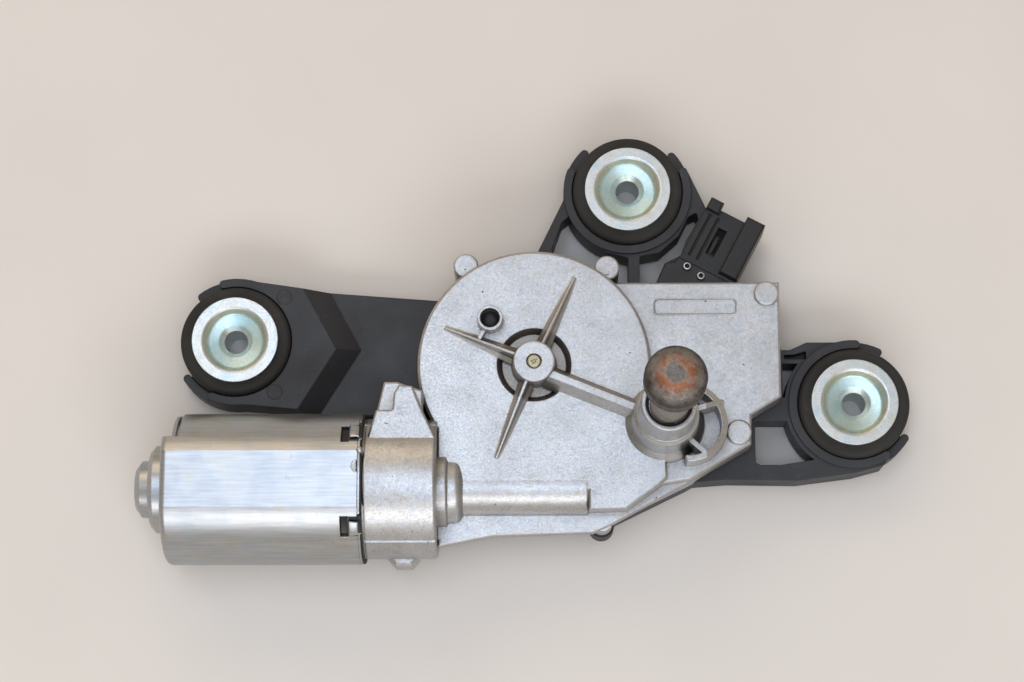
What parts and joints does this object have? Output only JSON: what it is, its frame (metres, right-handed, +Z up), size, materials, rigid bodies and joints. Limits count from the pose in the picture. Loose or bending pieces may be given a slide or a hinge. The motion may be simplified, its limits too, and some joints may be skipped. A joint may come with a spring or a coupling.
{
  "type": "wiper motor",
  "caption": "Rear-window wiper motor with die-cast worm gearbox, steel motor can, swinging output spindle and plastic back cover on rubber-mounted ears.",
  "frame": {"origin": "centre of the footprint, on the plane that the sleeve ends and the flat of the motor can rest on", "axes": "+Z up along the output spindle, +X along the motor shaft from the can to the gearbox"},
  "size_m": [0.229, 0.1316, 0.102],
  "materials": {
    "cast_aluminium": "die-cast aluminium, fine shot-blasted grain",
    "black_nylon": "glass-filled black nylon, moulded matt",
    "connector_black": "black moulded polyester",
    "black_rubber": "moulded black rubber",
    "zinc_yellow": "zinc plated steel, pale yellow passivation",
    "zinc_steel": "zinc plated deep-drawn steel",
    "spindle_steel": "turned steel with surface rust on its head",
    "bright_steel": "ground steel",
    "brass": "turned brass",
    "copper": "enamelled copper",
    "bronze": "sintered bronze",
    "ferrite": "sintered ferrite",
    "carbon": "copper-graphite",
    "white_acetal": "natural acetal",
    "brown_phenolic": "moulded phenolic"
  },
  "bodies": {
    "housing": {"gear_housing": "cast_aluminium", "back_cover": "black_nylon", "housing_gasket": "black_rubber", "cover_screws": "zinc_steel", "motor_can": "zinc_steel", "field_magnets": "ferrite", "magnet_clips": "bright_steel", "rear_bearing": "bronze", "front_bearing": "bronze", "thrust_pad": "white_acetal", "brush_holder": "brown_phenolic", "carbon_brushes": "carbon", "brush_springs": "bright_steel", "suppression_choke": "ferrite", "wheel_axle": "brass", "wheel_washer": "bright_steel", "wheel_clip": "bright_steel", "spindle_bush_lower": "bronze", "spindle_bush_upper": "bronze", "spindle_seal": "black_rubber", "spindle_washer": "bright_steel", "connector_shell": "connector_black", "connector_pins": "brass", "circuit_plate": "brown_phenolic", "contact_strips": "brass", "grommet_left": "black_rubber", "sleeve_left": "zinc_yellow", "grommet_top": "black_rubber", "sleeve_top": "zinc_yellow", "grommet_right": "black_rubber", "sleeve_right": "zinc_yellow"},
    "armature": {"armature_shaft": "bright_steel", "armature_core": "spindle_steel", "armature_windings": "copper", "commutator": "copper"},
    "worm_wheel": {"worm_wheel": "white_acetal", "park_disc": "brass", "crank_pin": "bright_steel"},
    "rocker": {"rocker_plate": "zinc_steel", "sector_pin": "bright_steel"},
    "sector_link": {"sector_link": "bright_steel"},
    "spindle": {"output_spindle": "spindle_steel", "spindle_pinion": "bright_steel", "spindle_clip": "bright_steel"}
  },
  "joints": [
    {"name": "armature_spin", "type": "hinge", "parent": "housing", "child": "armature", "pos_m": [0, -0.0432, 0.0206], "axis": [1, 0, 0], "continuous": true},
    {"name": "wheel_spin", "type": "hinge", "parent": "housing", "child": "worm_wheel", "pos_m": [0.0025, -0.0075, 0.0206], "axis": [0, 0, 1], "continuous": true},
    {"name": "spindle_swing", "type": "hinge", "parent": "housing", "child": "spindle", "pos_m": [0.04065, -0.0247, 0.05], "axis": [0, 0, 1], "range_deg": [0, 115]},
    {"name": "rocker_swing", "type": "hinge", "parent": "housing", "child": "rocker", "pos_m": [0.04065, -0.0247, 0.0086], "axis": [0, 0, 1], "range_deg": [0, 38.34]},
    {"name": "link_swing", "type": "hinge", "parent": "rocker", "child": "sector_link", "pos_m": [0.04543, -0.00425, 0.0122], "axis": [0, 0, 1], "range_deg": [-38.34, 0]}
  ],
  "couplings": [
    {"joint": "wheel_spin", "follows": "armature_spin", "ratio": -0.019231},
    {"joint": "rocker_swing", "follows": "spindle_swing", "ratio": 0.33333},
    {"joint": "link_swing", "follows": "spindle_swing", "ratio": -0.33333}
  ]
}
